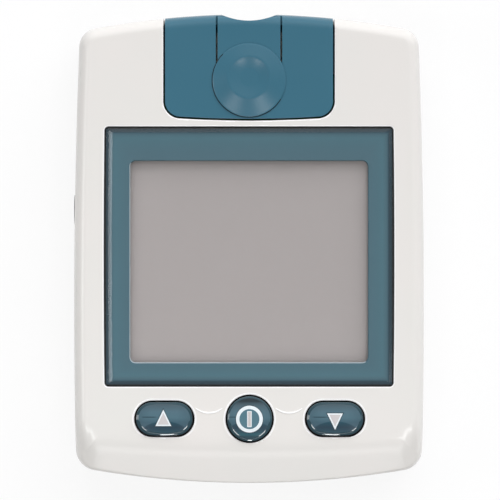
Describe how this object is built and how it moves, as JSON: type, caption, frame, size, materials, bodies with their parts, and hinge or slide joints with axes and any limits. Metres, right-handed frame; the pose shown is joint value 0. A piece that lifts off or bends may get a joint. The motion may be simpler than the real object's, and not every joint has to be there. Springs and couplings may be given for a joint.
{
  "type": "blood glucose meter",
  "caption": "Flat hand-held blood glucose meter with a large window display, a sliding strip ejector, one round and two pill-shaped keys, and a slide-off battery door on the back.",
  "frame": {"origin": "centre of the footprint at the bottom of the back face, with the meter lying on its back", "axes": "+X right and +Y towards the strip port as seen by a user facing the display, +Z out of the display"},
  "size_m": [0.0661, 0.0883, 0.0221],
  "materials": {
    "shell": "pearl white moulded ABS, satin gloss",
    "teal_plastic": "satin teal moulded ABS",
    "key_gloss": "dark teal clear-coated key caps",
    "window": "clear moulded acrylic, printed border behind",
    "lcd": "warm grey reflective display, blank",
    "tape": "black foam tape",
    "inner_plastic": "natural moulded nylon",
    "dark_plastic": "black moulded component bodies",
    "silicone": "grey silicone rubber",
    "carbon": "black conductive rubber",
    "board": "green solder mask on glass epoxy",
    "gold": "gold flashed phosphor bronze",
    "spring_steel": "bright nickel plating",
    "screw_steel": "zinc plated steel",
    "cell_jacket": "plain silver cell jacket, no print"
  },
  "bodies": {
    "casing": {"front_cover": "shell", "rear_cover": "shell", "port_bezel": "teal_plastic", "display_window": "window", "window_tape": "tape", "lcd_panel": "lcd", "lcd_holder": "inner_plastic", "lcd_strip_upper": "silicone", "lcd_strip_lower": "silicone", "main_board": "board", "board_chips": "dark_plastic", "board_screws": "screw_steel", "buzzer": "dark_plastic", "data_jack": "dark_plastic", "strip_connector": "inner_plastic", "strip_contacts": "gold", "keypad_mat": "silicone", "contact_pills": "carbon", "battery_cell_upper": "cell_jacket", "battery_cell_lower": "cell_jacket", "battery_bridge": "spring_steel", "battery_plus_plate": "spring_steel", "battery_minus_spring": "spring_steel", "case_screws": "screw_steel", "ejector_spring": "spring_steel"},
    "ejector": {"ejector_button": "teal_plastic", "ejector_carrier": "inner_plastic"},
    "up_key": {"up_key": "key_gloss"},
    "power_key": {"power_key": "key_gloss"},
    "down_key": {"down_key": "key_gloss"},
    "battery_door": {"battery_door": "shell"}
  },
  "joints": [
    {"name": "ejector_slide", "type": "slide", "parent": "casing", "child": "ejector", "axis": [0, 1, 0], "range_m": [0, 0.004], "stiffness_N_per_m": 120, "springref_m": -0.003, "deforming": ["ejector_spring"]},
    {"name": "up_press", "type": "slide", "parent": "casing", "child": "up_key", "axis": [0, 0, -1], "range_m": [0, 0.0005], "stiffness_N_per_m": 400, "springref_m": -0.0006, "deforming": ["keypad_mat"]},
    {"name": "power_press", "type": "slide", "parent": "casing", "child": "power_key", "axis": [0, 0, -1], "range_m": [0, 0.0005], "stiffness_N_per_m": 400, "springref_m": -0.0006, "deforming": ["keypad_mat"]},
    {"name": "down_press", "type": "slide", "parent": "casing", "child": "down_key", "axis": [0, 0, -1], "range_m": [0, 0.0005], "stiffness_N_per_m": 400, "springref_m": -0.0006, "deforming": ["keypad_mat"]},
    {"name": "door_slide", "type": "slide", "parent": "casing", "child": "battery_door", "axis": [0, -1, 0], "range_m": [0, 0.034]}
  ]
}
